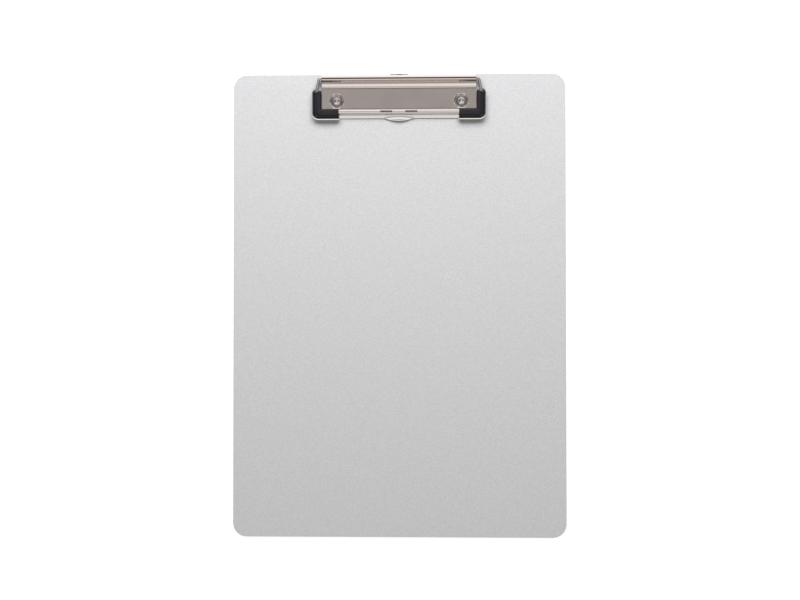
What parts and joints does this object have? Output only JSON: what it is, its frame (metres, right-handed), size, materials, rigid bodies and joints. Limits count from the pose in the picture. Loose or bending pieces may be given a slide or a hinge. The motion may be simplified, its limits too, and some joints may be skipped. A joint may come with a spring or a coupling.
{
  "type": "clipboard",
  "caption": "Rounded aluminium sheet board with a low sprung clip that swings up to hold paper, black corner grips and a pull-out hanging eye.",
  "frame": {"origin": "centre of the board's back face, on the surface the board lies on", "axes": "+Z out of the writing face, +Y towards the clip end, +X to the right when the clip is at the top"},
  "size_m": [0.23, 0.32, 0.0069],
  "materials": {
    "board_aluminium": "fine blasted satin",
    "plate_nickel": "satin nickel plate with bright bends",
    "bow_nickel": "bright nickel plate",
    "wire_steel": "bright nickel-plated spring steel",
    "rivet_nickel": "bright nickel plate",
    "hanger_nickel": "bright nickel plate",
    "grip_black": "soft satin black"
  },
  "bodies": {
    "board": {"board": "board_aluminium", "base_plate": "plate_nickel", "rivet_left": "rivet_nickel", "rivet_right": "rivet_nickel"},
    "bow": {"clamp_bow": "bow_nickel", "spring_wire": "wire_steel", "corner_grip_left": "grip_black", "corner_grip_right": "grip_black"},
    "hanger": {"hanger": "hanger_nickel"}
  },
  "joints": [
    {"name": "clamp_hinge", "type": "hinge", "parent": "board", "child": "bow", "pos_m": [0, 0.15685, 0.005], "axis": [-1, 0, 0], "range_deg": [0, 45], "stiffness_Nm_per_rad": 0.5, "springref_deg": -40.11},
    {"name": "hanger_slide", "type": "slide", "parent": "board", "child": "hanger", "axis": [0, 1, 0], "range_m": [0, 0.0087]}
  ]
}
